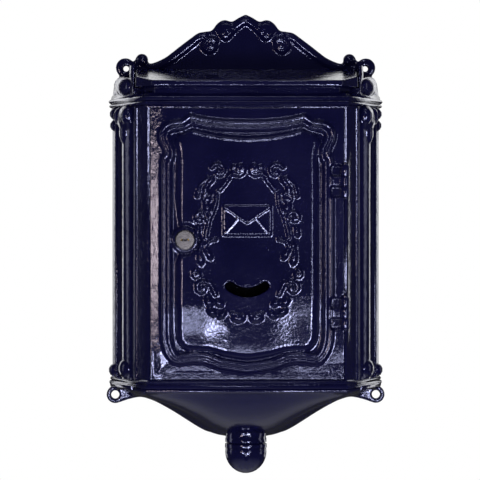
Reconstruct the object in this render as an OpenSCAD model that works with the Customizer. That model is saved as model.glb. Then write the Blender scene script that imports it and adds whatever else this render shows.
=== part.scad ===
// Ornate cast letter box for a wall: a splayed case on a back plate with a scrolled crest,
// a lifting lid, a hinged door with a cam lock, and a turned drop finial.
// X runs to the right, the front faces -Y and +Z is up. The origin is on the wall face of
// the back plate, on the centre line, midway between the two rows of wall screws.
// Points in an [x, z] or [x, depth] pair give depth as the distance in front of the wall.

/* [Back plate] */
// Thickness of the back plate
plate_t = 5; // [4:0.5:7]
// Height of each row of wall screws above or below the origin
screw_row_z = 156; // [154:0.5:158]
// Distance between the two upper wall screws
top_screw_span = 229; // [227:0.5:231]
// Distance between the two lower wall screws
low_screw_span = 250; // [248:0.5:252]
// Bore of the upper screw holes
top_screw_d = 5.8; // [4:0.1:7]
// Bore of the lower screw holes
low_screw_d = 8; // [5:0.1:9]
// Height of the crest's peak above the origin
crest_peak = 208.3; // [205:0.5:214]

/* [Case] */
// Half the case's width where it meets the back plate
wall_half = 127.5; // [126:0.5:130]
// Half the width over the arrises between the pilasters and the canted strips
arris_half = 103; // [101:0.5:105]
// Depth of those arrises in front of the wall
arris_depth = 64; // [60:0.5:68]
// Half the width over the front corners
front_half = 92.2; // [91.6:0.1:93]
// Depth of the case's front face
front_depth = 84; // [82:0.5:90]
// Wall thickness of the casting
wall_t = 4; // [3:0.5:4.5]
// Top of the cornice
cornice_top = 130.9; // [130:0.1:133]
// Height of the cornice, which is also the door's head
cornice_h = 15.3; // [15:0.1:17]
// Underside of the bottom moulding
base_z = -150.2; // [-152:0.2:-149]
// Height of the bottom moulding, which is also the door's sill
base_h = 12.5; // [12:0.1:14]
// Lowest point of the drop finial
finial_tip = -230.7; // [-236:0.1:-228]
// Largest radius of the finial
finial_r = 19.7; // [17:0.1:21]

/* [Lid] */
// Half the width of the lid
lid_half = 105; // [104:0.1:105.5]
// Slope of the lid in degrees
lid_slope = 10.8; // [9:0.1:12]
// Thickness of the lid plate
lid_t = 3.6; // [3:0.1:4]
// Depth of the lid's lip below its front edge
lip_h = 5.4; // [4:0.1:6]
// Radius of the rolled back edge that turns on the rod
lid_roll_r = 4.2; // [3.6:0.1:4.5]
// Diameter of the lid's hinge rod
rod_d = 4; // [3:0.1:4.5]

/* [Door] */
// Distance from the door's edge to the case's front corner
door_margin = 2; // [1.9:0.1:3]
// Thickness of the door's flange
door_t = 4; // [3:0.5:5]
// Gap round the door and under the lid
gap = 0.3; // [0.25:0.05:0.5]
// Width of the ledge that the door closes on
ledge_w = 8.2; // [6:0.1:10]
// Thickness of that ledge
ledge_t = 3.5; // [2.5:0.1:4]
// Height of the door's raised field above the flange
field_h = 4.2; // [3:0.1:5]
// Height of the frame moulding above the flange
frame_h = 4.6; // [3:0.1:6]
// Height of the wreath above the field
wreath_h = 3; // [2:0.1:4]

/* [Hinges] */
// Height of the upper hinge's middle
upper_hinge_z = 47.3; // [40:0.1:60]
// Height of the lower hinge's middle
lower_hinge_z = -75.4; // [-90:0.1:-60]
// Length of each hinge over its three knuckles
hinge_len = 29.2; // [26:0.2:34]
// Radius of the hinge knuckles
knuckle_r = 4; // [3.5:0.1:4.5]
// Diameter of the hinge pins
pin_d = 3.5; // [2.5:0.1:4.5]

/* [Lock] */
// Distance of the lock from the door's free edge
lock_inset = 32.5; // [30:0.1:35]
// Height of the lock
lock_z = -7.3; // [-12:0.1:0]
// Diameter of the lock's bright flange
lock_face_d = 18.6; // [18:0.1:20]
// Diameter of the lock's barrel
lock_barrel_d = 16; // [14:0.1:16.5]
// Diameter of the turning plug
plug_d = 10; // [9:0.1:11]
// Length of the cam from the lock's axis to its tip
cam_len = 33; // [31:0.1:34]

/* [Hidden] */
$fn = 48;

paint = "#14142e";
steel = "#b9bcc2";
brass = "#c2a25a";
side = [-1, 1];
run = 0.05;  // running clearance of a pin or plug in its bore

// Widths, heights and depths that several pieces share
door_half = front_half - door_margin;
lock_x = lock_inset - door_half;
head_z = cornice_top - cornice_h;
sill_z = base_z + base_h;
door_top = head_z - gap;
door_base = sill_z + gap;
door_back = front_depth - door_t;
ledge_front = door_back - gap - 0.1;
ledge_back = ledge_front - ledge_t;
open_half = door_half - ledge_w;
open_top = door_top - 6.3;
open_base = door_base + 6.4;
floor_top = sill_z + 1.7;
floor_t = 4;
floor_base = floor_top - floor_t;
field_depth = front_depth + field_h;

// Plan of the case, right half: wall corner, arris, front corner, each as [x, depth]
wall_corner = [wall_half, plate_t];
arris = [arris_half, arris_depth];
front_corner = [front_half, front_depth];

function unit(v) = v / norm(v);
function cross2(a, b) = a.x * b.y - a.y * b.x;
function along(p, u, depth) = p + u * (depth - p.y) / u.y;
function meet(p, u, q, v) = p + u * cross2(q - p, v) / cross2(u, v);
side_u = unit(arris - wall_corner);
side_n = [side_u.y, -side_u.x];
cant_u = unit(front_corner - arris);
cant_n = [cant_u.y, -cant_u.x];

// The plan moved outward by o, from the wall to the front corner
function plan_half(o, back = plate_t) =
    let (a = wall_corner + side_n * o, c = front_corner + cant_n * o)
    [along(a, side_u, back), meet(a, side_u, c, cant_u), along(c, cant_u, front_depth + o)];
function both_sides(half) =
    concat(half, [for (i = [len(half) - 1 : -1 : 0]) if (half[i].x > 0.01) [-half[i].x, half[i].y]]);
function plan(o) = both_sides(plan_half(o));

// Catmull-Rom curve through the points, n steps to each span
function bend(a, b, c, d, t) =
    0.5 * (2 * b + (c - a) * t + (2 * a - 5 * b + 4 * c - d) * t * t + (3 * b - a - 3 * c + d) * t * t * t);
function spline(p, n) =
    let (last = len(p) - 1)
    concat([for (i = [0 : last - 1], k = [0 : n - 1])
                bend(p[max(i - 1, 0)], p[i], p[i + 1], p[min(i + 2, last)], k / n)],
           [p[last]]);

// Left-hand mitre directions along a path
function leg(path, i, j) = let (u = unit(path[j] - path[i])) [-u.y, u.x];
function mitre(path, i, loop = false) =
    let (n = len(path),
         a = i > 0 ? leg(path, i - 1, i) : loop ? leg(path, n - 1, 0) : leg(path, 0, 1),
         b = i < n - 1 ? leg(path, i, i + 1) : loop ? leg(path, n - 1, 0) : leg(path, n - 2, n - 1),
         m = unit(a + b))
    m / max(0.5, m * a);
function reversed(path) = [for (i = [len(path) - 1 : -1 : 0]) path[i]];
function rest(path) = [for (i = [1 : len(path) - 1]) path[i]];
function shifted(path, o) = [for (i = [0 : len(path) - 1]) path[i] + mitre(path, i) * o];

// Faces of a skin of rings with m points each, capped at its ends unless it is a loop
function skin(rings, m, loop = false) =
    concat([for (k = [0 : rings - (loop ? 1 : 2)], j = [0 : m - 1])
                let (a = k * m, b = (k + 1) % rings * m, i = (j + 1) % m) [a + j, b + j, b + i, a + i]],
           loop ? [] : [[for (j = [0 : m - 1]) j], [for (j = [m - 1 : -1 : 0]) (rings - 1) * m + j]]);

// Solids that stand on a plan outline, or lie along Y or X
module prism(points, z0, z1)
    translate([0, 0, z0]) linear_extrude(z1 - z0) polygon([for (p = points) [p.x, -p.y]]);
module rod_y(x, z, d0, d1, r)
    translate([x, -d0, z]) rotate([90, 0, 0]) cylinder(h = d1 - d0, r = r);
module ring_y(x, z, d0, d1, r_out, r_in)
    difference() {
        rod_y(x, z, d0, d1, r_out);
        rod_y(x, z, d0 - 1, d1 + 1, r_in);
    }
module rod_x(x0, x1, depth, z, r)
    translate([x0, -depth, z]) rotate([0, 90, 0]) cylinder(h = x1 - x0, r = r);
module taper(a, b, r1, r2) {
    v = b - a;
    translate(a) rotate([0, acos(v.z / norm(v)), atan2(v.y, v.x)]) cylinder(h = norm(v), r1 = r1, r2 = r2);
}
module box(x0, x1, d0, d1, z0, z1)
    translate([x0, -d1, z0]) cube([x1 - x0, d1 - d0, z1 - z0]);

// Joins freeform relief into one skin
module carved() resize([0, 0, 0]) union() children();

// Relief along a path of [x, z] points on a face at the given depth
module ribbon(path, profile, depth, loop = false, swell = [1, 1]) {
    n = len(path);
    polyhedron(
        [for (i = [0 : n - 1], p = profile)
            let (s = swell[0] + (swell[1] - swell[0]) * i / (n - 1),
                 q = path[i] + mitre(path, i, loop) * p.x * s)
            [q.x, -(depth + p.y * s), q.y]],
        skin(n, len(profile), loop));
}
function bead_profile(r, h, sink = 1) =
    [[r, -sink], [r * 0.8, h * 0.62], [0, h], [-r * 0.8, h * 0.62], [-r, -sink]];
curl_step = 34;
function curl_path(c, r0, r1, a0, a1) =
    let (n = max(2, ceil(abs(a1 - a0) / curl_step)))
    [for (i = [0 : n])
        let (t = i / n, r = r0 + (r1 - r0) * t, a = a0 + (a1 - a0) * t)
        c + r * [cos(a), sin(a)]];
// A flat-bottomed mound on a face: rings of the same outline, each [scale, height]
module mound(c, size, angle, rings, depth) {
    sides = 8;
    polyhedron(
        [for (r = rings, i = [0 : sides - 1])
            let (a = 360 * i / sides, x = cos(a) * size.x / 2 * r.x, z = sin(a) * size.y / 2 * r.x)
            [c.x + x * cos(angle) - z * sin(angle), -(depth + r.y), c.y + x * sin(angle) + z * cos(angle)]],
        skin(len(rings), sides));
}
// A volute: a spiral bead that winds into an eye
module curl(c, r0, r1, a0, a1, w, h, depth) {
    ribbon(curl_path(c, r0, r1, a0, a1), bead_profile(w, h), depth, swell = [1, 0.75]);
    mound(c, [r1, r1] * 1.5, 0, [[1, -1], [0.9, h * 0.7], [0.4, h]], depth);
}
// A leaf of the given length and width, turned by angle
module leaf(c, size, angle, h, depth)
    mound(c, size, angle, [[1, -3], [0.86, h * 0.55], [0.3, h]], depth);
module stem(a, b, w, h, depth) ribbon([a, b], bead_profile(w, h), depth);

// Back plate
ear_hi = [top_screw_span / 2 + 0.7, screw_row_z + 1];
ear_lo = [low_screw_span / 2, -screw_row_z];
ear_hi_r = 9.3;
ear_lo_r = 8.4;
ear_hi_t = plate_t + 1.4;
shoulder = [117.1, 139.4];
shoulder_r = 9.2;
horn = [99.4, 164.4];
horn_r = 6.2;
eye_low = [34, 177.8];
eye_high = [18.7, 188.4];
crest_edge = [[0, crest_peak], [6.9, crest_peak - 3.3], [13.2, 201.3], [19.2, 203], [24, 201.8],
              [28.3, 198.4], [32.6, 192.7], [39.4, 191.7], [45.8, 190.3], [52.6, 185.5], [62.2, 178.3],
              [72, 170.6], [77.3, 166.8], [85, 163], [94, 160]];
plate_foot = -192.4;
foot_edge = [[112.8, -160.7], [102.7, -158.5], [96.5, -159.2], [86.9, -162.6], [77, -167.8], [67.2, -173.5],
             [52.8, -182.7], [43.2, -188.5], [34, plate_foot + 0.1], [22, plate_foot], [0, plate_foot]];
plate_side = wall_half - 0.2;
plate_edge = concat(
    spline(crest_edge, 3),
    [[108, 158], [112, 146], [118, 138], [plate_side, 128], [plate_side, -146],
     [ear_lo.x + ear_lo_r - 0.3, ear_lo.y + 1], [ear_lo.x - 1.6, ear_lo.y - ear_lo_r + 0.1]],
    spline(foot_edge, 3));

module plate_face()
    union() {
        polygon(both_sides(plate_edge));
        for (s = side) {
            translate([s * ear_hi.x, ear_hi.y]) circle(r = ear_hi_r);
            translate([s * ear_lo.x, ear_lo.y]) circle(r = ear_lo_r);
            translate([s * shoulder.x, shoulder.y]) circle(r = shoulder_r);
            translate([s * horn.x, horn.y]) circle(r = horn_r);
        }
    }

rim_path = spline([[37.7, 187.1], [45, 185.6], [51.2, 180.6], [60.6, 173.2], [70.2, 166], [77, 161.8],
                   [86, 158.6], [93, 158]], 3);
crown_path = spline([[13.2, 192.1], [9, 196.4], [4.6, 199.8], [0, 202.2]], 3);

module crest_relief() {
    for (m = [0, 1]) mirror([m, 0, 0]) {
        ribbon(rim_path, bead_profile(3.3, 2.7), plate_t);
        ribbon(crown_path, bead_profile(3.1, 3), plate_t);
        curl(eye_low, 7.4, 3.6, 150, -250, 2.2, 4.4, plate_t);
        leaf(eye_high + [0.4, 4.4], [17.6, 16], 0, 3.2, plate_t);
        curl(eye_high, 5, 2.7, 170, -200, 1.9, 5, plate_t);
        curl(horn, 4.2, 2.4, 250, -90, 1.7, 4, plate_t);
    }
}

module back_plate()
    color(paint) difference() {
        carved() {
            rotate([90, 0, 0]) linear_extrude(plate_t) plate_face();
            crest_relief();
            for (s = side) rod_y(s * ear_hi.x, ear_hi.y, plate_t - 1, ear_hi_t, ear_hi_r - 0.6);
        }
        for (s = side) {
            rod_y(s * top_screw_span / 2, screw_row_z, -1, ear_hi_t + 1, top_screw_d / 2);
            rod_y(s * low_screw_span / 2, -screw_row_z, -1, ear_hi_t + 1, low_screw_d / 2);
        }
        for (p = case_screw_places) {
            rod_y(p.x, p.y, -1, screw_head_t, screw_head_r + 0.2);
            rod_y(p.x, p.y, 0, plate_t + 1, screw_r + 0.2);
        }
    }

// Screws that hold the case from behind
screw_r = 2;
screw_head_r = 4;
screw_head_t = 2.4;
screw_len = 14;
boss_r = 5;
boss_depth = 19;
case_screw_places = [for (s = side, z = [104, -14, -118]) [s * (wall_half - 11.5), z]];

module case_screws()
    color(steel) for (p = case_screw_places) difference() {
        union() {
            rod_y(p.x, p.y, 0.2, screw_head_t, screw_head_r);
            rod_y(p.x, p.y, screw_head_t - 0.5, screw_head_t + screw_len, screw_r);
        }
        box(p.x - 0.6, p.x + 0.6, -1, 1, p.y - 5, p.y + 5);
    }

// Lid
lip_gap = 4.6;
lid_front = front_depth + 1.5;
lid_axis_depth = plate_t + lid_roll_r + 0.5;
lip_base = cornice_top + lip_gap;
lid_axis_z = lip_base + lip_h - lid_roll_r / cos(lid_slope) + (lid_front - lid_axis_depth) * tan(lid_slope);
lid_corner = front_half - 3.8;
lid_bow = 1.8;
lid_bow_steps = 8;
lid_edge = both_sides(concat(
    [[lid_half, lid_axis_depth], [lid_half - 0.7, arris_depth - 4], [lid_corner, lid_front]],
    [for (i = [1 : lid_bow_steps])
        let (t = i / lid_bow_steps)
        [lid_corner * (1 - t), lid_front + lid_bow * sin(180 * t)]]));
lip_t = 3;
collar_in = 4.6;
collar_t = 3;

// Space below the lid's top face, from z0 to z1 measured square to it
module under_lid(z0, z1)
    translate([0, -lid_axis_depth, lid_axis_z]) rotate([lid_slope, 0, 0])
        translate([-150, -120, z0]) cube([300, 140, z1 - z0]);

module lid()
    color(paint) difference() {
        union() {
            intersection() {
                prism(lid_edge, lip_base, lid_axis_z + 10);
                under_lid(lid_roll_r - lid_t, lid_roll_r);
            }
            intersection() {
                difference() {
                    prism(lid_edge, lip_base, lid_axis_z + 10);
                    prism(shifted(lid_edge, lip_t), lip_base - 1, lid_axis_z + 11);
                }
                under_lid(-60, lid_roll_r - 0.5);
            }
            rod_x(-lid_half, lid_half, lid_axis_depth, lid_axis_z, lid_roll_r);
        }
        rod_x(-lid_half - 1, lid_half + 1, lid_axis_depth, lid_axis_z, rod_d / 2 + run);
    }

cheek_in = lid_half + 0.6;
lug_out = cheek_in + 4.4;
cap_t = 1.6;
cap_r = 2.9;
module lid_rod()
    color(steel) rod_x(-lug_out - cap_t, lug_out + cap_t, lid_axis_depth, lid_axis_z, rod_d / 2);
module rod_caps()
    color(steel) for (s = side) translate([s > 0 ? 0 : -2 * lug_out - cap_t, 0, 0]) difference() {
        rod_x(lug_out, lug_out + cap_t, lid_axis_depth, lid_axis_z, cap_r);
        rod_x(lug_out - 1, lug_out + cap_t + 1, lid_axis_depth, lid_axis_z, rod_d / 2);
    }

// Case: cornice, bottom moulding and pilasters are swept or extruded from these sections
cornice_section = [[-6, 0], [1.2, 0], [1.2, 1.6], [0.5, 2.4], [2.2, 3], [3, 4.4], [2.2, 5.8], [1.4, 6.3],
                   [2.6, 7], [3.5, 8.7], [2.6, 10.3], [1.3, 10.8], [-0.6, 12.6], [-3.4, 14.2],
                   [-5, cornice_h], [-6, cornice_h]];
base_section = [[-6, 0], [-2, 0], [0.6, 0.8], [1.8, 2.2], [1.6, 3.6], [0.8, 4.2], [2.4, 4.9], [3.1, 6.4],
                [2.4, 7.9], [1, 8.5], [1.9, 9.3], [2.2, 10.3], [1.4, 11.4], [0.4, base_h], [-6, base_h]];

module moulding(section, z) {
    paths = [for (p = section) plan(p.x)];
    n = len(paths[0]);
    polyhedron([for (i = [0 : n - 1], j = [0 : len(section) - 1])
                   [paths[j][i].x, -paths[j][i].y, z + section[j].y]],
               skin(n, len(section)));
}

// Place on the right side wall: s along it from the wall, o outward
function on_side(s, o) = let (p = wall_corner + side_u * s + side_n * o) [p.x, -p.y];
side_len = norm(arris - wall_corner);
shaft_mid = side_len * 0.635;
shaft_w = 30;
shaft_r = 28;
shaft_bulge = 4.4;
module pilaster_plan() {
    polygon([on_side(3, -2), on_side(3, 0.8), on_side(24, 0.8), on_side(24, -2)]);
    translate(on_side(14.5, 1)) circle(r = 1.7);
    intersection() {
        translate(on_side(shaft_mid, shaft_bulge - shaft_r)) circle(r = shaft_r);
        polygon([on_side(shaft_mid - shaft_w / 2, -2), on_side(shaft_mid - shaft_w / 2, 8),
                 on_side(shaft_mid + shaft_w / 2, 8), on_side(shaft_mid + shaft_w / 2, -2)]);
    }
    translate(on_side(side_len - 0.6, -0.5)) circle(r = 2.5);
}

module side_ball(s, o, z, size)
    let (p = on_side(s, o))
    translate([p.x, p.y, z]) rotate([0, 0, atan2(-side_u.y, side_u.x)]) scale(size) sphere(r = 1, $fn = 12);
capital_z = 103;
foot_leaf_z = -129;
module pilaster_relief() {
    side_ball(side_len * 0.47, 0.5, 137, [18, 4.5, 9]);
    side_ball(shaft_mid, 2, capital_z + 3, [15.5, 7, 13]);
    side_ball(shaft_mid, 3, capital_z - 9, [7, 5, 12]);
    for (s = side) side_ball(shaft_mid + s * 10, 3, capital_z + 6, [6, 7.5, 9]);
    side_ball(shaft_mid, 2.5, foot_leaf_z, [12, 6, 9]);
    side_ball(9, 0, 112.4, [6.5, 6.2, 6]);
    side_ball(9, 0, 101.5, [6.5, 5.8, 5.8]);
    side_ball(8, 0.5, -132, [7, 6, 6.5]);
}

// Corbel below the case, from the plate's foot up to the bottom moulding
corbel_top = base_z + 1;
arris_out = 18;
corbel_foot = [[115, -154.5], [109, -157.6], [102, -157.9], [95.5, -158.6], [86.9, -162], [77, -167.2],
               [67.2, -172.9], [52.8, -182.1], [42, -188.4], [31, -192.9], [20, -195.4], [0, -196.6]];
corbel_arris = [[112.5, -153], [106, -154.6], [99, -156], [90.5, -157.2], [81, -159.5], [71.5, -164],
                [62, -169.6], [52.4, -175.8], [42.9, -181.8], [31.5, -188], [20, -192], [0, -193.4]];
function measure(path, k) = k == 0 ? 0 : norm(path[k] - path[k - 1]) + measure(path, k - 1);
function walk(path, dist, k = 1) =
    let (d = norm(path[k] - path[k - 1]))
    dist <= d || k == len(path) - 1
        ? path[k - 1] + (path[k] - path[k - 1]) * dist / d
        : walk(path, dist - d, k + 1);
bowl_rows = 7;
function corbel_column(foot, arr, top, inset, top_z) =
    concat([[foot.x, plate_t - (inset > 0 ? 2 : 0), foot.y], [foot.x, plate_t + 3, foot.y]],
           [for (k = [0 : bowl_rows])
               let (v = k / bowl_rows,
                    sine = 0.7 * sin(90 * v) + 0.3 * v,
                    rise = 0.7 * (1 - cos(90 * v)) + 0.3 * v,
                    edge = arris_out - inset * 0.6)
               [arr.x + (top.x - arr.x) * sine,
                edge + (top.y - edge) * sine,
                arr.y + (top_z - arr.y) * rise]],
           [[foot.x, plate_t - (inset > 0 ? 2 : 0), top_z]]);
module corbel_solid(inset) {
    shrink = 1 - inset / 115;
    feet = [for (p = spline(corbel_foot, 2)) [p.x * shrink, p.y + inset]];
    arrs = [for (p = spline(corbel_arris, 2)) [p.x * shrink, p.y + inset]];
    n = len(feet) - 1;
    top_half = concat([along(wall_corner - side_n * (1.5 + inset), side_u, arris_out + 4)],
                      [for (i = [1, 2]) plan_half(-1.5 - inset)[i]], [[0, front_depth - 1.5 - inset]]);
    total = measure(top_half, len(top_half) - 1);
    top_z = corbel_top + (inset > 0 ? 3 : 0);
    half = [for (i = [0 : n]) corbel_column(feet[i], arrs[i], walk(top_half, total * i / n), inset, top_z)];
    m = len(half[0]);
    columns = concat(half, [for (i = [n - 1 : -1 : 0]) [for (p = half[i]) [-p.x, p.y, p.z]]]);
    polyhedron([for (c = columns, p = c) [p.x, -p.y, p.z]], skin(len(columns), m));
}

// Finial: turned, and cut flat where it meets the wall
finial_depth = 12;
finial_section = concat(
    [[0, finial_tip + 1], [0, -178], [finial_r - 0.4, -178], [finial_r - 0.4, -196.5], [finial_r, -197.4],
     [finial_r, -200.6], [finial_r - 2, -201.4], [finial_r + 0.2, -202.4], [finial_r + 0.3, -206],
     [finial_r - 2.8, -207.2], [finial_r - 3, -208.6]],
    [for (a = [10 : -10 : -80]) [finial_r * cos(a), finial_tip + finial_r + 1 + finial_r * sin(a) * 1.05]]);
module finial()
    difference() {
        translate([0, -finial_depth, 0]) rotate_extrude() polygon(finial_section);
        box(-30, 30, -30, 0, finial_tip - 1, -170);
        box(-30, 30, -1, plate_t + 0.2, plate_foot - gap, -170);
    }

// Top of the side walls beside the lid, seen from the front as [x, z]
cheek_face = [[cheek_in, 124], [wall_half + 0.3, 124], [wall_half - 0.4, 131], [wall_half - 1.2, 137],
              [wall_half - 2.2, 142], [122.5, 146], [118.5, 147.2], [114.5, 146.2], [lug_out, 144.5],
              [lug_out, lid_axis_z + 5], [cheek_in, lid_axis_z + 5]];
cheek_front = 57;
module cheek() {
    intersection() {
        rotate([90, 0, 0]) linear_extrude(cheek_front + 10) polygon(cheek_face);
        prism([[cheek_in, plate_t], [wall_half + 1, plate_t], along(wall_corner, side_u, plate_t) + [0.2, 0],
               along(wall_corner, side_u, cheek_front) + [0.2, 0], [cheek_in, cheek_front]], 120, 170);
    }
    box(lid_half - collar_in - 1, cheek_in + 1, plate_t, cheek_front - 0.6, cornice_top - 3, lip_base - 0.6);
}

// Rolls that end the cornice and the bottom moulding at the wall
cornice_roll_z = head_z + 10.6;
base_roll_z = base_z + 4.6;
module end_roll(z, r_wall, r_front, out)
    intersection() {
        taper([wall_half - 3 + out, 4, z], [arris_half + 2, -arris_depth + 6, z], r_wall, r_front);
        box(80, 150, plate_t, 100, z - 20, z + 20);
    }

hinge_axis = [door_half + 0.8, front_depth + 2];
hinge_third = hinge_len / 3;
hinge_places = [upper_hinge_z, lower_hinge_z];
module hinge_bore(z)
    translate([hinge_axis.x, -hinge_axis.y, z - hinge_len])
        cylinder(h = 2 * hinge_len, r = pin_d / 2 + run);
module case_knuckles(z)
    for (s = side) translate([0, 0, z + s * hinge_third]) {
        translate([hinge_axis.x, -hinge_axis.y, -hinge_third / 2 + 0.15])
            cylinder(h = hinge_third - 0.3, r = knuckle_r);
        box(door_half + 0.6, front_half + 2.4, ledge_front - 2, hinge_axis.y,
            -hinge_third / 2 + 0.15, hinge_third / 2 - 0.15);
    }
// Room for the middle knuckles' swing and for the pin's head
module knuckle_room(z)
    translate([hinge_axis.x, -hinge_axis.y, z - hinge_len / 2 - gap]) {
        cylinder(h = hinge_len + 2 * gap, r = knuckle_r + 0.4);
        cylinder(h = hinge_len + 2 * gap + pin_head_t, r = pin_head_r + gap);
    }

collar_out_edge = shifted(lid_edge, collar_in);
collar_in_edge = shifted(lid_edge, collar_in + collar_t);
module collar()
    intersection() {
        difference() {
            prism(closed(collar_out_edge, plate_t), cornice_top - 3, collar_top);
            prism(closed(collar_in_edge, plate_t - 1), cornice_top - 4, collar_top + 1);
            rod_x(-150, 150, lid_axis_depth, lid_axis_z, lid_roll_r + gap);
        }
        under_lid(-60, lid_roll_r - lid_t - gap);
    }

// The case's plan closed at the wall
function closed(points, back) = concat([[points[0].x, back]], points, [[-points[0].x, back]]);
collar_top = lid_axis_z + 5;
module case_shell()
    difference() {
        union() {
            prism(plan(0), floor_base, head_z + 1);
            prism(plan(-5), head_z, cornice_top - 0.2);
        }
        intersection() {
            prism(closed(plan(-wall_t), 0), floor_top, cornice_top - 5);
            box(-200, 200, 0, ledge_back, floor_top, cornice_top);
        }
        prism(closed(collar_in_edge, 0), cornice_top - 6, cornice_top + 1);
    }

module case_body()
    carved() difference() {
        union() {
            case_shell();
            moulding(cornice_section, head_z);
            moulding(base_section, base_z);
            for (m = [0, 1]) mirror([m, 0, 0]) {
                translate([0, 0, sill_z - 1]) linear_extrude(head_z - sill_z + 2) pilaster_plan();
                pilaster_relief();
                end_roll(cornice_roll_z, 7.4, 3.4, 0);
                end_roll(base_roll_z, 6, 3.6, 2.6);
                cheek();
            }
            corbel_solid(0);
        }
        intersection() {
            corbel_solid(wall_t);
            box(-200, 200, 0, 200, -300, floor_base);
        }
        box(-door_half - gap, door_half + gap, ledge_front, front_depth + 10, sill_z, head_z);
        box(-open_half, open_half, ledge_back - 5, front_depth, open_base, open_top);
        for (z = hinge_places) knuckle_room(z);
        for (s = side) rod_y(s * ear_hi.x, ear_hi.y, plate_t - 1, ear_hi_t + gap, ear_hi_r - 0.6 + gap);
    }

module case()
    color(paint) difference() {
        union() {
            case_body();
            collar();
            finial();
            for (z = hinge_places) case_knuckles(z);
            for (p = case_screw_places) rod_y(p.x, p.y, plate_t, boss_depth, boss_r);
        }
        for (z = hinge_places) hinge_bore(z);
        for (p = case_screw_places)
            rod_y(p.x, p.y, 0, screw_head_t + screw_len + gap, screw_r + run);
        rod_x(-lug_out - 1, lug_out + 1, lid_axis_depth, lid_axis_z, rod_d / 2 + run);
    }

pin_head_t = 1.6;
pin_head_r = 3;
module hinge_pin(z)
    color(paint) translate([hinge_axis.x, -hinge_axis.y, z]) {
        translate([0, 0, -hinge_len / 2]) cylinder(h = hinge_len + 0.5, r = pin_d / 2);
        translate([0, 0, hinge_len / 2 - 0.15]) cylinder(h = pin_head_t, r = pin_head_r);
    }
module door_pin_upper() hinge_pin(upper_hinge_z);
module door_pin_lower() hinge_pin(lower_hinge_z);

// Door
// Outlines are drawn for a door of this half width and keep their distance from its edges
drawn_half = 90.2;
function fitted(half) = [for (p = half) [p.x + (door_half - drawn_half) * min(1, p.x / 50), p.y]];
frame_edge = [[0, 103], [20, 103.4], [38, 105.4], [53.7, 108.9]];
frame_lobe = [[53.7, 108.9], [60.7, 103.8], [69.5, 102.6], [77.3, 99.2], [81.5, 91.3], [80.1, 83],
              [76.6, 76], [76.6, 71.4], [79.4, 65.5], [79.5, 30], [79.5, -30], [79.5, -92], [78.3, -103.7],
              [76.4, -111], [70.9, -119.4], [63.4, -122.6], [54.6, -121], [39, -121.2], [25.2, -126.8],
              [0, -130.5]];
frame_half = fitted(concat(spline(frame_edge, 2), rest(spline(frame_lobe, 2))));
function mirrored(half) = [for (i = [len(half) - 2 : -1 : 1]) [-half[i].x, half[i].y]];
frame_section = [[1, -1], [0.3, 2.2], [-1.6, 3.5], [-3.8, 2.3], [-4.8, 3.6], [-6.6, frame_h], [-8.9, 3.2],
                 [-9.8, -1]];

// The raised field rolls up from the flange, with a bay left free for the lock
field_half = fitted(spline([[0, 88.6], [22, 90.2], [40, 93.6], [50, 96], [56, 93.6], [63, 91], [68, 84],
                            [66.2, 74], [65.6, 62], [66, 30], [66, -30], [66, -90], [63.5, -103],
                            [57, -110], [48, -111], [36, -111.6], [20, -116], [0, -119]], 2));
lock_bay_r = 13.8;
bay_arc = [for (a = [-110 : 22 : 110]) [lock_x, lock_z] + lock_bay_r * [cos(a), sin(a)]];
field_loop = concat(field_half,
                    [for (p = mirrored(field_half)) if (p.y < lock_z - lock_bay_r - 1) p],
                    bay_arc,
                    [for (p = mirrored(field_half)) if (p.y > lock_z + lock_bay_r + 1) p]);
field_steps = [[0, -1], [0.6, field_h * 0.4], [2.6, field_h * 0.78], [6, field_h]];
function field_ring(o) =
    [for (i = [0 : len(field_loop) - 1])
        let (p = field_loop[i], near_lock = norm(p - [lock_x, lock_z]) < lock_bay_r + 0.1)
        p - mitre(field_loop, i, true) * o * (near_lock ? 0.45 : 1)];
module field()
    polyhedron([for (step = reversed(field_steps), p = field_ring(step.x))
                   [p.x, -(front_depth + step.y), p.y]],
               skin(len(field_steps), len(field_loop)));

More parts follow.
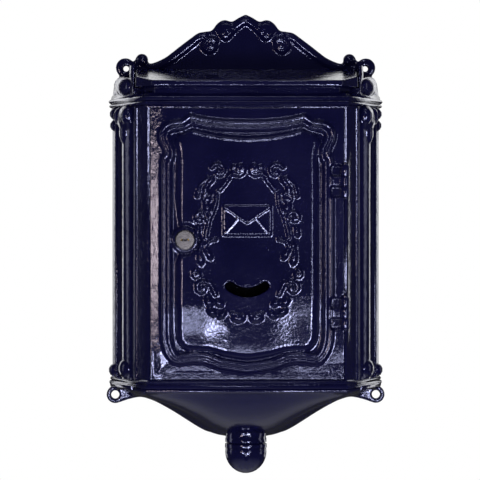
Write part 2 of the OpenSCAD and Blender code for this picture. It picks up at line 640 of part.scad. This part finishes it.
module wreath_half()
    let (d = field_depth, h = wreath_h) {
        curl([7, 58.5], 6.4, 2.6, 330, 30, 1.7, h, d);
        curl([7, 58.5], 6.4, 6.4, 30, -20, 1.7, h, d);
        stem([14, 54], [19, 50.5], 1.8, h, d);
        curl([26.5, 56.5], 7.6, 2.8, 20, 330, 1.8, h, d);
        stem([17.5, 49.5], [26.3, 38.3], 1.9, h * 0.8, d);
        ribbon(curl_path([26, 34], 19.5, 20.5, 60, -5), bead_profile(1.6, h * 0.7), d);
        leaf([34.5, 47], [13, 5.5], -50, h, d);
        leaf([38.5, 40], [12, 5.5], -70, h, d);
        curl([37, 31.5], 5, 2.2, 140, -200, 1.6, h, d);
        leaf([37, 22.5], [12, 7], 65, h, d);
        ribbon(spline([[28.5, 36], [29.5, 25], [34, 14], [37.5, 2], [38.3, -7]], 2),
               bead_profile(1.4, h * 0.6), d);
        curl([43.5, 13.5], 6.6, 2.6, 210, -130, 1.8, h, d);
        leaf([46, 1], [13, 5], 100, h, d);
        ribbon(curl_path([29, -16], 9.5, 10.5, 95, -15), bead_profile(1.5, h * 0.7), d);
        leaf([42.5, -12.5], [10, 5], 110, h, d);
        leaf([43.2, -24], [17, 6.5], 82, h, d);
        leaf([36, -20], [15, 6], 60, h, d);
        curl([46.3, -39], 4.3, 2, 90, -230, 1.5, h, d);
        curl([42, -51.5], 6.6, 2.6, 150, -200, 1.8, h, d);
        stem([34.8, -45.4], [28.8, -59], 1.9, h * 0.8, d);
        leaf([26.3, -65.7], [10.5, 6.5], 30, h, d);
        leaf([35.5, -65], [12, 6.5], 50, h, d);
        leaf([33, -74], [12, 6], 35, h, d);
        leaf([23, -76.5], [11, 5.5], -40, h, d);
        leaf([8.5, -79.8], [14.5, 8.6], 6, h, d);
        stem([1.5, -77.5], [16, -74.6], 1.2, h * 0.7, d);
    }

// Plain envelope in the middle of the door
note_z = 10.8;
note_w = 44;
note_h = 27;
module envelope()
    let (d = field_depth, x = note_w / 2, z = note_h / 2) {
        box(-x, x, d - 1, d + 1.1, note_z - z, note_z + z);
        for (m = [0, 1]) mirror([m, 0, 0]) {
            ribbon([[x - 1, note_z + z - 1], [0, note_z - 2]], bead_profile(1.1, 1.5), d + 0.6);
            ribbon([[x - 1, note_z - z + 1], [x * 0.38, note_z + 2.2]], bead_profile(0.9, 1.2), d + 0.6);
        }
    }

// Curved slot through the door
slot_x = 16.2;
slot_lift = 5.8;
slot_z = -53.3;
slot_half_h = 4.4;
slot_path = [for (k = [-6 : 6]) [slot_x * k / 6, slot_z + slot_lift * (k * k / 36 - 0.5)]];
slot_turn = atan2(2 * slot_lift, slot_x);
function slot_end(p, turn) = [for (a = [60 : -30 : -60]) p + slot_half_h * [cos(a + turn), sin(a + turn)]];
slot_loop = concat(shifted(slot_path, slot_half_h), slot_end(slot_path[12], slot_turn),
                   reversed(shifted(slot_path, -slot_half_h)), slot_end(slot_path[0], 180 - slot_turn));
module slot_cut() rotate([90, 0, 0]) linear_extrude(120) polygon(slot_loop);
lock_boss_r = 12;
lock_boss_top = field_depth + 0.2;
notch_t = 2.2;

module door_front()
    carved() difference() {
        union() {
            box(-door_half, door_half, door_back, front_depth, door_base, door_top);
            ribbon(concat(frame_half, mirrored(frame_half)), frame_section, front_depth, loop = true);
            field();
            for (m = [0, 1]) mirror([m, 0, 0]) wreath_half();
            envelope();
            ribbon(shifted(slot_path, slot_half_h + 1), bead_profile(1.1, 1.1), field_depth);
        }
        slot_cut();
        rod_y(lock_x, lock_z, field_depth + 0.1, field_depth + 10, lock_boss_r - 1);
        for (z = hinge_places) {
            knuckle_room(z);
            for (s = side)
                box(door_half - 13, door_half + 5, front_depth - notch_t, front_depth + 10,
                    z + s * hinge_third - hinge_third / 2 - gap, z + s * hinge_third + hinge_third / 2 + gap);
        }
    }

module door()
    color(paint) difference() {
        union() {
            door_front();
            rod_y(lock_x, lock_z, door_back, lock_boss_top, lock_boss_r);
            for (z = hinge_places) {
                translate([hinge_axis.x, -hinge_axis.y, z - hinge_third / 2 + 0.15])
                    cylinder(h = hinge_third - 0.3, r = knuckle_r);
                box(door_half - 14, door_half - 1, door_back, front_depth + 2.6,
                    z - hinge_third / 2 + gap, z + hinge_third / 2 - gap);
                box(door_half - 2, hinge_axis.x, hinge_axis.y - knuckle_r, front_depth + 2.6,
                    z - hinge_third / 2 + gap, z + hinge_third / 2 - gap);
            }
        }
        rod_y(lock_x, lock_z, door_back - 1, lock_boss_top + 1, lock_barrel_d / 2 + run);
        for (z = hinge_places) hinge_bore(z);
    }

// Cam lock
lock_front = lock_boss_top + 2;
housing_back = door_back - 4.2;
nut_t = 3;
cam_t = 2;
cam_front = housing_back - 0.3;
cam_w = 14;
tail = 6.4;
module lock_housing()
    color("#d5d7da") difference() {
        union() {
            rod_y(lock_x, lock_z, housing_back, lock_boss_top + 0.5, lock_barrel_d / 2);
            translate([lock_x, -lock_boss_top, lock_z]) rotate([90, 0, 0]) {
                cylinder(h = 1.1, r = lock_face_d / 2);
                translate([0, 0, 1.1]) cylinder(h = 0.9, r1 = lock_face_d / 2, r2 = lock_face_d / 2 - 1.1);
            }
        }
        rod_y(lock_x, lock_z, housing_back - 1, lock_front + 1, plug_d / 2 + run);
    }

module lock_nut()
    color(steel)
        ring_y(lock_x, lock_z, door_back - nut_t, door_back, lock_barrel_d / 2 + 3.2,
               lock_barrel_d / 2 + run);

key_w = 7.6;
key_t = 1.9;
wafer_h = 5.8;
wafer_t = 0.9;
wafer_w = 2 * sqrt(pow(plug_d / 2, 2) - pow(wafer_h / 2, 2)) - 0.1;
wafer_step = 2.3;
wafer_first = housing_back + 1.8;
wafer_count = 4;
module lock_plug()
    color("#c8cacd") difference() {
        union() {
            rod_y(lock_x, lock_z, housing_back + 0.1, lock_front - 0.3, plug_d / 2);
            box(lock_x - tail / 2, lock_x + tail / 2, cam_front - cam_t - 0.1, housing_back + 1,
                lock_z - tail / 2, lock_z + tail / 2);
        }
        box(lock_x - key_w / 2, lock_x + key_w / 2, housing_back + 1.4, lock_front + 1,
            lock_z - key_t / 2, lock_z + key_t / 2);
        for (i = [0 : wafer_count - 1])
            box(lock_x - wafer_w / 2 - 1, lock_x + wafer_w / 2 + 1, wafer_first + i * wafer_step,
                wafer_first + i * wafer_step + wafer_t + 0.2,
                lock_z - wafer_h / 2 - run, lock_z + wafer_h / 2 + run);
        rod_y(lock_x, lock_z, cam_front - cam_t - 1, housing_back + 1.2, cam_screw_r + run);
    }

module lock_wafers()
    color(brass) for (i = [0 : wafer_count - 1]) let (d = wafer_first + 0.1 + i * wafer_step) difference() {
        box(lock_x - wafer_w / 2, lock_x + wafer_w / 2, d, d + wafer_t,
            lock_z - wafer_h / 2, lock_z + wafer_h / 2);
        box(lock_x - key_w / 2 + 0.8, lock_x + key_w / 2 - 1.2, d - 1, d + wafer_t + 1,
            lock_z - key_t / 2 - 0.2, lock_z + key_t / 2 + 0.2);
    }

module lock_cam()
    color(steel) difference() {
        union() {
            rod_y(lock_x, lock_z, cam_front - cam_t, cam_front, cam_w / 2);
            box(lock_x - cam_w / 2, lock_x + cam_w / 2, cam_front - cam_t, cam_front,
                lock_z - cam_len, lock_z);
        }
        box(lock_x - tail / 2 - run, lock_x + tail / 2 + run, cam_front - cam_t - 1, cam_front + 1,
            lock_z - tail / 2 - run, lock_z + tail / 2 + run);
    }

cam_screw_r = 1.5;
cam_screw_head_r = 4.6;
cam_screw_head_t = 1.6;
module cam_screw()
    color(steel) difference() {
        union() {
            rod_y(lock_x, lock_z, cam_front - cam_t - cam_screw_head_t - 0.1, cam_front - cam_t - 0.1,
                  cam_screw_head_r);
            rod_y(lock_x, lock_z, cam_front - cam_t - 0.6, housing_back + 1, cam_screw_r);
        }
        box(lock_x - 5, lock_x + 5, cam_front - cam_t - 3, cam_front - cam_t - 1, lock_z - 0.5, lock_z + 0.5);
    }

back_plate();
case();
case_screws();
lid();
lid_rod();
rod_caps();
door();
door_pin_upper();
door_pin_lower();
lock_housing();
lock_nut();
lock_plug();
lock_wafers();
lock_cam();
cam_screw();
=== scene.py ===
"""Looks of an ornate cast wall letter box: navy gloss enamel over a soft sand casting,
with a bright cam lock in the door. Everything is in metres, in the frame of the model,
apart from what is named in millimetres."""

import math

import bpy
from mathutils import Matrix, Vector


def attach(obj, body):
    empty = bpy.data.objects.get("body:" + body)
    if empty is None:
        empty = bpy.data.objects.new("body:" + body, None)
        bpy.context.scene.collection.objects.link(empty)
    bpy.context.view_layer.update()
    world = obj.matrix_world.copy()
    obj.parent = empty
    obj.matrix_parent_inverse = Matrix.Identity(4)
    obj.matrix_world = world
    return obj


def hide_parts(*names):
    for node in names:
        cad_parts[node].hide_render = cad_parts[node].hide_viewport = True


MM = 0.001
# Places on the door, in millimetres. What lies behind the first one is its back
DOOR_BACK_ENDS = -81.9
DOOR_RIM_FROM = -82.2
DOOR_FIELD_FROM = -83.0
DOOR_LOCK_EDGE = -89.0
DOOR_FOOT_EDGE = -136.0
LOCK_AXIS = (-57.7 * MM, 0.0, -7.3 * MM)

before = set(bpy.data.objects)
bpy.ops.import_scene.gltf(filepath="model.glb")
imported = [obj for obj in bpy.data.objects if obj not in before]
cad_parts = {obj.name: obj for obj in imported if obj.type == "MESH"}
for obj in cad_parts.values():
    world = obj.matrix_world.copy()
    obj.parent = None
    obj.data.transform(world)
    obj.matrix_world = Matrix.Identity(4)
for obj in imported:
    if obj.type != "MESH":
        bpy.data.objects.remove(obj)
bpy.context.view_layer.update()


def deselect():
    bpy.ops.object.select_all(action="DESELECT")


def pick(piece):
    deselect()
    piece.select_set(True)
    bpy.context.view_layer.objects.active = piece
    return piece


def finish_with(piece, kind, **values):
    """Adds a modifier to the piece and applies it."""
    pick(piece)
    modifier = piece.modifiers.new(kind.lower(), kind)
    for name, value in values.items():
        setattr(modifier, name, value)
    bpy.ops.object.modifier_apply(modifier=modifier.name)


def merged_copy(node, name):
    """A copy of a node's own mesh, with its loose triangles joined."""
    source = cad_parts[node]
    piece = bpy.data.objects.new(name, source.data.copy())
    bpy.context.scene.collection.objects.link(piece)
    piece.data.materials.clear()
    pick(piece)
    bpy.ops.object.mode_set(mode="EDIT")
    bpy.ops.mesh.select_all(action="SELECT")
    bpy.ops.mesh.remove_doubles(threshold=0.01 * MM)
    bpy.ops.object.mode_set(mode="OBJECT")
    return piece


def pressed(piece, test, move, reach, falloff="SMOOTH"):
    """Moves the points of the door's face that pass the test, and draws along those
    within reach, in millimetres. The door's back stays flat."""
    pick(piece)
    for point in piece.data.vertices:
        point.hide = point.co.y > DOOR_BACK_ENDS * MM
        point.select = not point.hide and test(point.co / MM)
    bpy.ops.object.mode_set(mode="EDIT")
    bpy.ops.mesh.select_mode(type="VERT")
    bpy.ops.transform.translate(
        value=(0.0, move * MM, 0.0),
        use_proportional_edit=True,
        use_proportional_connected=False,
        proportional_edit_falloff=falloff,
        proportional_size=reach * MM,
    )
    bpy.ops.mesh.reveal(select=False)
    bpy.ops.object.mode_set(mode="OBJECT")


def cast_skin(node, name, body, voxel, soften, dents=()):
    """Turns a node's crisp solid into a painted casting: its edges and hollows flow
    together as they do under sand grain and thick enamel, and its flats are a little
    uneven, as dents (test, move, reach, falloff) give them."""
    piece = merged_copy(node, name)
    finish_with(piece, "REMESH", mode="VOXEL", voxel_size=voxel * MM)
    finish_with(piece, "SMOOTH", factor=0.5, iterations=soften)
    for dent in dents:
        pressed(piece, *dent)
    pick(piece)
    bpy.ops.object.shade_smooth()
    painted(piece, node, body)


def machined_skin(node, name, body):
    """Keeps a node's profiles crisp, with the light rolling round its curves."""
    piece = merged_copy(node, name)
    finish_with(
        piece,
        "BEVEL",
        limit_method="ANGLE",
        angle_limit=math.radians(38),
        width=0.3 * MM,
        segments=2,
        use_clamp_overlap=True,
    )
    pick(piece)
    bpy.ops.object.shade_smooth_by_angle(angle=math.radians(42))
    painted(piece, node, body)


def painted(piece, node, body):
    """Enamels a casting's skin, and lets it stand for its node and move with its body."""
    piece.data.materials.append(NAVY)
    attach(piece, body)
    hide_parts(node)


def node_group(name, inputs, outputs):
    """An empty shader group with float or colour sockets."""
    group = bpy.data.node_groups.new(name, "ShaderNodeTree")
    for side, sockets in (("INPUT", inputs), ("OUTPUT", outputs)):
        for label, kind, value in sockets:
            made = group.interface.new_socket(name=label, in_out=side, socket_type=kind)
            if value is not None:
                made.default_value = value
    entry = group.nodes.new("NodeGroupInput")
    leave = group.nodes.new("NodeGroupOutput")
    return group, entry, leave


def feed(tree, socket, value):
    """Gives a socket a plain value, or links another node's output to it."""
    if isinstance(value, bpy.types.NodeSocket):
        tree.links.new(value, socket)
    else:
        socket.default_value = value


def noise(tree, scale, detail=2.0, rough=0.5):
    made = tree.nodes.new("ShaderNodeTexNoise")
    made.inputs["Scale"].default_value = scale
    made.inputs["Detail"].default_value = detail
    made.inputs["Roughness"].default_value = rough
    return made


def math_node(tree, operation, a, b):
    made = tree.nodes.new("ShaderNodeMath")
    made.operation = operation
    for socket, value in zip(made.inputs, (a, b)):
        feed(tree, socket, value)
    return made.outputs["Value"]


def to_range(tree, value, low, high, start=0.0, stop=1.0):
    made = tree.nodes.new("ShaderNodeMapRange")
    tree.links.new(value, made.inputs["Value"])
    made.inputs["From Min"].default_value = start
    made.inputs["From Max"].default_value = stop
    made.inputs["To Min"].default_value = low
    made.inputs["To Max"].default_value = high
    return made.outputs["Result"]


def mix_colour(tree, share, a, b):
    made = tree.nodes.new("ShaderNodeMix")
    made.data_type = "RGBA"
    tree.links.new(share, made.inputs[0])
    feed(tree, made.inputs[6], a)
    feed(tree, made.inputs[7], b)
    return made.outputs[2]


def surface_grain():
    """Unevenness of a finish: broad waves, a pebbly middle and a fine grain."""
    group, entry, leave = node_group(
        "surface_grain",
        [
            ("Waves", "NodeSocketFloat", 60.0),
            ("Pebble", "NodeSocketFloat", 260.0),
            ("Grain", "NodeSocketFloat", 900.0),
        ],
        [("Height", "NodeSocketFloat", None), ("Patches", "NodeSocketFloat", None)],
    )
    place = group.nodes.new("ShaderNodeTexCoord")
    parts = []
    for label, detail, share in (("Waves", 1.0, 1.0), ("Pebble", 2.0, 0.5), ("Grain", 2.0, 0.14)):
        made = noise(group, 1.0, detail)
        group.links.new(place.outputs["Object"], made.inputs["Vector"])
        group.links.new(entry.outputs[label], made.inputs["Scale"])
        parts.append(math_node(group, "MULTIPLY", made.outputs["Fac"], share))
    coarse = math_node(group, "ADD", parts[0], parts[1])
    height = math_node(group, "ADD", coarse, parts[2])
    group.links.new(height, leave.inputs["Height"])
    patches = noise(group, 14.0, 3.0, 0.6)
    group.links.new(place.outputs["Object"], patches.inputs["Vector"])
    group.links.new(patches.outputs["Fac"], leave.inputs["Patches"])
    return group


GRAIN = surface_grain()


def new_material(name):
    material = bpy.data.materials.new(name)
    material.use_nodes = True
    tree = material.node_tree
    shader = tree.nodes["Principled BSDF"]
    return material, tree, shader


def placed_grain(tree, waves, pebble, grain):
    """The grain group in a material, with its three sizes as waves to the metre."""
    made = tree.nodes.new("ShaderNodeGroup")
    made.node_tree = GRAIN
    for label, value in (("Waves", waves), ("Pebble", pebble), ("Grain", grain)):
        made.inputs[label].default_value = value
    return made


def bumped(tree, shader, height, distance):
    """Raises a finish's height on its shader, by a distance in millimetres."""
    bump = tree.nodes.new("ShaderNodeBump")
    bump.inputs["Distance"].default_value = distance * MM
    bump.inputs["Strength"].default_value = 1.0
    tree.links.new(height, bump.inputs["Height"])
    tree.links.new(bump.outputs["Normal"], shader.inputs["Normal"])


def enamel():
    """Gloss navy enamel: deep colour, orange peel and the casting's waves beneath."""
    material, tree, shader = new_material("navy_enamel")
    grain = placed_grain(tree, 95.0, 480.0, 1500.0)
    share = to_range(tree, grain.outputs["Patches"], 0.0, 1.0, 0.35, 0.65)
    colour = mix_colour(tree, share, (0.0015, 0.0015, 0.0125, 1.0), (0.0023, 0.0022, 0.0170, 1.0))
    tree.links.new(colour, shader.inputs["Base Color"])
    gloss = to_range(tree, grain.outputs["Patches"], 0.07, 0.13, 0.3, 0.7)
    tree.links.new(gloss, shader.inputs["Roughness"])
    shader.inputs["Metallic"].default_value = 0.0
    shader.inputs["IOR"].default_value = 1.5
    shader.inputs["Specular Tint"].default_value = (0.62, 0.65, 1.0, 1.0)
    bumped(tree, shader, grain.outputs["Height"], 0.26)
    return material


def bright_metal(name, colour, rough, waves=120.0, bump=0.01):
    """Plated or bare metal with a light handling haze and a fine grain."""
    material, tree, shader = new_material(name)
    shader.inputs["Metallic"].default_value = 1.0
    grain = placed_grain(tree, waves, 1500.0, 5000.0)
    share = to_range(tree, grain.outputs["Patches"], 0.0, 1.0, 0.3, 0.7)
    dull = tuple(c * 0.82 for c in colour[:3]) + (1.0,)
    tree.links.new(mix_colour(tree, share, colour, dull), shader.inputs["Base Color"])
    haze = to_range(tree, grain.outputs["Patches"], rough * 0.7, rough * 1.4, 0.3, 0.7)
    tree.links.new(haze, shader.inputs["Roughness"])
    bumped(tree, shader, grain.outputs["Height"], bump)
    return material


def turned_metal(name, centre, rings=4200.0):
    """Nickel with the fine rings of a turned face round its centre. The value rings is
    in radians of wave to a metre of radius."""
    material, tree, shader = new_material(name)
    shader.inputs["Metallic"].default_value = 1.0
    place = tree.nodes.new("ShaderNodeTexCoord")
    steps = [("SUBTRACT", centre), ("MULTIPLY", (1.0, 0.0, 1.0)), ("LENGTH", None)]
    value = place.outputs["Object"]
    for operation, by in steps:
        made = tree.nodes.new("ShaderNodeVectorMath")
        made.operation = operation
        tree.links.new(value, made.inputs[0])
        if by:
            made.inputs[1].default_value = by
        value = made.outputs["Value" if operation == "LENGTH" else "Vector"]
    grain = placed_grain(tree, 300.0, 1500.0, 5000.0)
    wave = math_node(tree, "SINE", math_node(tree, "MULTIPLY", value, rings), 0.0)
    ridge = to_range(tree, wave, 0.0, 0.5, -1.0, 1.0)
    ring = math_node(tree, "ADD", ridge, grain.outputs["Height"])
    share = to_range(tree, ring, 0.0, 1.0, 0.5, 1.6)
    colour = mix_colour(tree, share, (0.15, 0.143, 0.172, 1.0), (0.30, 0.288, 0.325, 1.0))
    tree.links.new(colour, shader.inputs["Base Color"])
    haze = to_range(tree, grain.outputs["Patches"], 0.16, 0.28, 0.3, 0.7)
    tree.links.new(haze, shader.inputs["Roughness"])
    bumped(tree, shader, ring, 0.03)
    return material


NAVY = enamel()
ZINC = bright_metal("zinc_plate", (0.62, 0.63, 0.66, 1.0), 0.3)
NICKEL = turned_metal("turned_nickel", LOCK_AXIS)
# Brass for the lock wafers, darkened well below real brass as painted shade, so the wafers inside
# the keyway read as a dark hole
KEYWAY_SHADE_BRASS = bright_metal("brass_darkened_for_keyway_shade", (0.30, 0.21, 0.09, 1.0), 0.34)

# The small pieces keep their own shapes, and take a finish each
FINISHES = (
    (ZINC, ("case_screws", "lid_rod", "rod_caps", "lock_nut", "lock_cam", "cam_screw")),
    (NICKEL, ("lock_housing", "lock_plug")),
    (KEYWAY_SHADE_BRASS, ("lock_wafers",)),
    (NAVY, ("door_pin_upper", "door_pin_lower")),
)
for material, nodes in FINISHES:
    for node in nodes:
        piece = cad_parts[node]
        piece.data.materials.clear()
        piece.data.materials.append(material)


def lock_edge(point):
    return point.x < DOOR_LOCK_EDGE and point.y < DOOR_RIM_FROM


def foot_edge(point):
    return point.z < DOOR_FOOT_EDGE and point.y < DOOR_RIM_FROM


def field_spot(x, z, half=5.0):
    """A test that takes the points of the door's field within half a width of a spot."""
    return lambda point: (
        point.y < DOOR_FIELD_FROM and abs(point.x - x) < half and abs(point.z - z) < half
    )


# The door's face rolls back to its lock edge and foot, and its field has two shallow hollows
DOOR_DENTS = (
    (lock_edge, 0.8, 9.5, "LINEAR"),
    (foot_edge, 1.6, 15.0, "LINEAR"),
    (field_spot(-50.0, -104.0), 1.3, 34.0, "SMOOTH"),
    (field_spot(56.0, -96.0), 1.3, 34.0, "SMOOTH"),
)

# The four castings: a cast skin's numbers are its voxel in millimetres and its smoothing
cast_skin("back_plate", "painted_back_plate", "box", 1.4, 2)
machined_skin("case", "painted_case", "box")
cast_skin("lid", "painted_lid", "lid", 0.9, 2)
cast_skin("door", "painted_door", "door", 1.0, 1, DOOR_DENTS)


def stage_material(name, colour, shown, mirrored):
    """A pale floor: near white to the camera, and in gloss bright only near the foot."""
    material, tree, shader = new_material(name)
    shader.inputs["Base Color"].default_value = colour
    shader.inputs["Roughness"].default_value = 0.9
    light = tree.nodes.new("ShaderNodeLightPath")
    place = tree.nodes.new("ShaderNodeTexCoord")
    reach = tree.nodes.new("ShaderNodeVectorMath")
    reach.operation = "LENGTH"
    tree.links.new(place.outputs["Object"], reach.inputs[0])
    patch_start, patch_end, beyond = 0.22, 0.6, 0.04
    near = to_range(tree, reach.outputs["Value"], mirrored, beyond, patch_start, patch_end)
    under = shader.outputs["BSDF"]
    for ray, strength, share in (("Is Glossy Ray", near, 1.0), ("Is Camera Ray", shown, 0.88)):
        glow = tree.nodes.new("ShaderNodeEmission")
        glow.inputs["Color"].default_value = (1.0, 1.0, 1.0, 1.0)
        feed(tree, glow.inputs["Strength"], strength)
        blend = tree.nodes.new("ShaderNodeMixShader")
        tree.links.new(math_node(tree, "MULTIPLY", light.outputs[ray], share), blend.inputs["Fac"])
        tree.links.new(under, blend.inputs[1])
        tree.links.new(glow.outputs["Emission"], blend.inputs[2])
        under = blend.outputs["Shader"]
    tree.links.new(under, tree.nodes["Material Output"].inputs["Surface"])
    return material


def backdrop():
    deselect()
    bpy.ops.mesh.primitive_plane_add(size=5.0, location=(0.0, 0.0, -0.62))
    sheet = bpy.context.active_object
    sheet.name = "studio_floor"
    sheet.data.materials.append(stage_material("floor_white", (0.8, 0.8, 0.8, 1.0), 1.0, 0.55))


def lamp(name, place, target, size, power, colour=(1.0, 1.0, 1.0)):
    """A flat lamp of a width and height in metres that faces its target."""
    data = bpy.data.lights.new(name, "AREA")
    data.shape = "RECTANGLE"
    data.size, data.size_y = size
    data.energy = power
    data.color = colour
    made = bpy.data.objects.new(name, data)
    bpy.context.scene.collection.objects.link(made)
    made.location = place
    made.rotation_euler = (Vector(target) - Vector(place)).to_track_quat("-Z", "Y").to_euler()
    return made


backdrop()
FRONT = (0.0, -0.08, 0.0)
PANE_POWER = 95.0
lamp("left_soft", (-0.62, -1.5, -0.02), FRONT, (0.14, 0.16), 3.4, (1.0, 0.80, 0.58))
lamp("right_soft", (0.66, -1.5, -0.02), FRONT, (0.13, 0.22), 1.8)
lamp("low_left", (-0.32, -1.45, -0.38), FRONT, (0.14, 0.2), 6.5)
lamp("low_right", (0.36, -1.45, -0.36), FRONT, (0.12, 0.34), 10.0)
lamp("head_box", (0.0, -0.7, 1.5), FRONT, (1.0, 0.12), 1.2)
for side in (-1.0, 1.0):
    lamp("side_sheet", (side * 1.7, 0.12, 0.1), FRONT, (0.3, 1.4), 2.6)
    lamp("rear_sheet", (side * 0.85, 1.05, 0.1), FRONT, (0.3, 1.6), 3.4).visible_camera = False
# Small panes, low and high, whose reflections break up the light on the level mouldings
for across, width in ((-0.056, 0.018), (-0.025, 0.025), (0.024, 0.042), (0.090, 0.021)):
    for height, forward, tall in ((-0.40, -1.45, 0.16), (0.85, -1.24, 0.12)):
        power = PANE_POWER * width * tall
        lamp("pane", (across, forward, height), (across, -0.08, 0.0), (width, tall), power)
lamp("back_sheet", (0.0, 0.9, 0.5), FRONT, (1.4, 1.0), 6.0).visible_camera = False


def studio_light():
    """White to the camera, nearly dark in gloss, and a soft light all round."""
    world = bpy.data.worlds.new("studio")
    bpy.context.scene.world = world
    world.use_nodes = True
    tree = world.node_tree
    sky = tree.nodes["Background"]
    sky.inputs["Color"].default_value = (1.0, 1.0, 1.0, 1.0)
    light_path = tree.nodes.new("ShaderNodeLightPath")
    level = 0.75
    for ray, strength in (("Is Glossy Ray", 0.03), ("Is Camera Ray", 1.0)):
        choice = tree.nodes.new("ShaderNodeMix")
        choice.data_type = "FLOAT"
        tree.links.new(light_path.outputs[ray], choice.inputs[0])
        feed(tree, choice.inputs[2], level)
        choice.inputs[3].default_value = strength
        level = choice.outputs[0]
    tree.links.new(level, sky.inputs["Strength"])


def photo_camera():
    """The photograph's view: from far off, a little to the left of the middle."""
    view = bpy.data.cameras.new("photo_view")
    view.lens = 195.3
    view.sensor_width = 36.0
    camera = bpy.data.objects.new("photo_view", view)
    bpy.context.scene.collection.objects.link(camera)
    camera.location = (-0.043, -2.5, 0.010)
    aim = Vector((-0.0054, 0.0, -0.008))
    camera.rotation_euler = (aim - camera.location).to_track_quat("-Z", "Y").to_euler()
    bpy.context.scene.camera = camera


studio_light()
photo_camera()
bpy.context.scene.view_settings.view_transform = "Standard"
